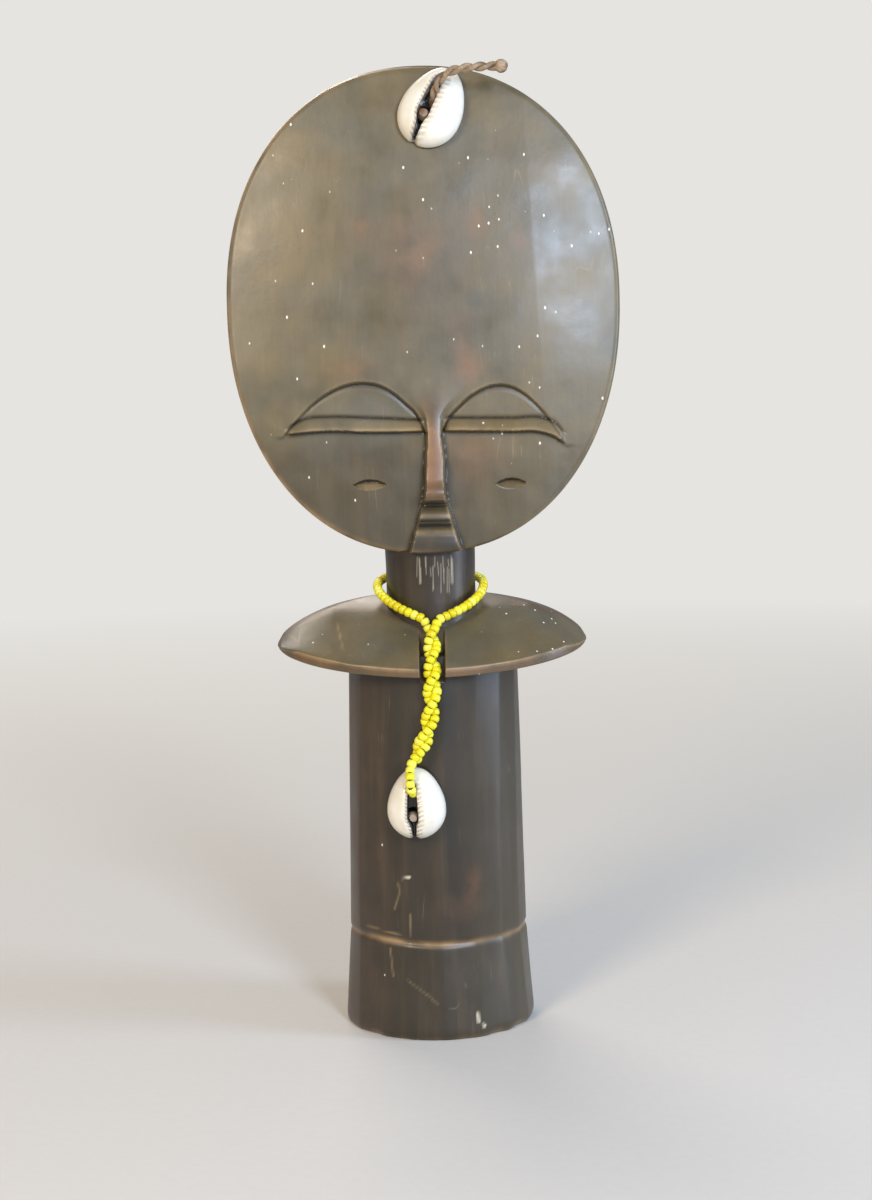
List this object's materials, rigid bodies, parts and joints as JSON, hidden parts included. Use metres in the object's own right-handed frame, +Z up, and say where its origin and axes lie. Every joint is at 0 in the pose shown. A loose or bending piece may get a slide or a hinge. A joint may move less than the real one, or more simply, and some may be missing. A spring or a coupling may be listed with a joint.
{
  "type": "fertility doll",
  "caption": "Free-standing carved wooden doll: flat oval head with closed eyes, round neck, arm plate and column body, with a bead necklace and two cowrie shells.",
  "frame": {"origin": "centre of the flat underside of the body, which the doll stands on", "axes": "+Z up along the body, -Y the way the face looks, +X to the right as a viewer facing the doll sees it"},
  "size_m": [0.1292, 0.0639, 0.3198],
  "materials": {
    "blackened_wood": "blackened carved hardwood, handled to a satin patina, brown where it is rubbed",
    "cowrie_shell": "polished natural shell",
    "twisted_hide": "dried twisted hide",
    "cotton_thread": "waxed cotton thread",
    "yellow_seed_bead": "opaque pressed glass"
  },
  "bodies": {
    "figure": {"carved_figure": "blackened_wood"},
    "head_charm": {"head_cowrie": "cowrie_shell", "head_thong": "twisted_hide", "thong_back_knot": "twisted_hide", "thong_tip_knot": "twisted_hide"},
    "necklace": {"neck_thread": "cotton_thread", "neck_beads_01": "yellow_seed_bead", "neck_beads_02": "yellow_seed_bead", "neck_beads_03": "yellow_seed_bead", "neck_beads_04": "yellow_seed_bead", "neck_beads_05": "yellow_seed_bead", "neck_beads_06": "yellow_seed_bead", "neck_beads_07": "yellow_seed_bead", "neck_beads_08": "yellow_seed_bead", "neck_beads_09": "yellow_seed_bead", "neck_beads_10": "yellow_seed_bead", "neck_beads_11": "yellow_seed_bead", "neck_beads_12": "yellow_seed_bead", "neck_beads_13": "yellow_seed_bead", "neck_beads_14": "yellow_seed_bead", "neck_beads_15": "yellow_seed_bead", "neck_beads_16": "yellow_seed_bead", "neck_beads_17": "yellow_seed_bead", "neck_beads_18": "yellow_seed_bead", "neck_beads_19": "yellow_seed_bead", "neck_beads_20": "yellow_seed_bead", "neck_beads_21": "yellow_seed_bead", "neck_beads_22": "yellow_seed_bead", "neck_beads_23": "yellow_seed_bead", "neck_beads_24": "yellow_seed_bead", "neck_beads_25": "yellow_seed_bead"},
    "pendant_upper": {"throat_threads": "cotton_thread", "throat_row_01": "yellow_seed_bead", "throat_row_02": "yellow_seed_bead", "throat_row_03": "yellow_seed_bead", "throat_row_04": "yellow_seed_bead", "throat_row_05": "yellow_seed_bead", "throat_row_06": "yellow_seed_bead", "throat_row_07": "yellow_seed_bead", "throat_row_08": "yellow_seed_bead"},
    "pendant_lower": {"left_thread": "cotton_thread", "right_thread": "cotton_thread", "pendant_row_01": "yellow_seed_bead", "pendant_row_02": "yellow_seed_bead", "pendant_row_03": "yellow_seed_bead", "pendant_row_04": "yellow_seed_bead", "pendant_row_05": "yellow_seed_bead", "pendant_row_06": "yellow_seed_bead", "pendant_row_07": "yellow_seed_bead", "pendant_row_08": "yellow_seed_bead", "pendant_row_09": "yellow_seed_bead", "pendant_row_10": "yellow_seed_bead", "pendant_row_11": "yellow_seed_bead", "pendant_row_12": "yellow_seed_bead", "tail_bead_1": "yellow_seed_bead", "tail_bead_2": "yellow_seed_bead", "tail_bead_3": "yellow_seed_bead", "tail_bead_4": "yellow_seed_bead", "end_knot": "cotton_thread"},
    "pendant_shell": {"pendant_cowrie": "cowrie_shell"}
  },
  "joints": [
    {"name": "head_charm_turn", "type": "hinge", "parent": "figure", "child": "head_charm", "pos_m": [0.0043, -0.00078, 0.30534], "axis": [0, 0.9836, -0.1801], "range_deg": [-25, 25]},
    {"name": "necklace_lift", "type": "slide", "parent": "figure", "child": "necklace", "axis": [0, 0, 1], "range_m": [0, 0.006]},
    {"name": "pendant_forward", "type": "hinge", "parent": "necklace", "child": "pendant_upper", "pos_m": [0.0002, -0.0172, 0.1389], "axis": [-1, 0, 0], "range_deg": [0, 50]},
    {"name": "pendant_sway", "type": "hinge", "parent": "pendant_upper", "child": "pendant_lower", "pos_m": [-0.0001, -0.0279, 0.1216], "axis": [0, 1, 0], "range_deg": [-25, 25]},
    {"name": "shell_rock", "type": "hinge", "parent": "pendant_lower", "child": "pendant_shell", "pos_m": [-0.00705, -0.0298, 0.0843], "axis": [0, 1, 0], "range_deg": [-15, 15]}
  ]
}
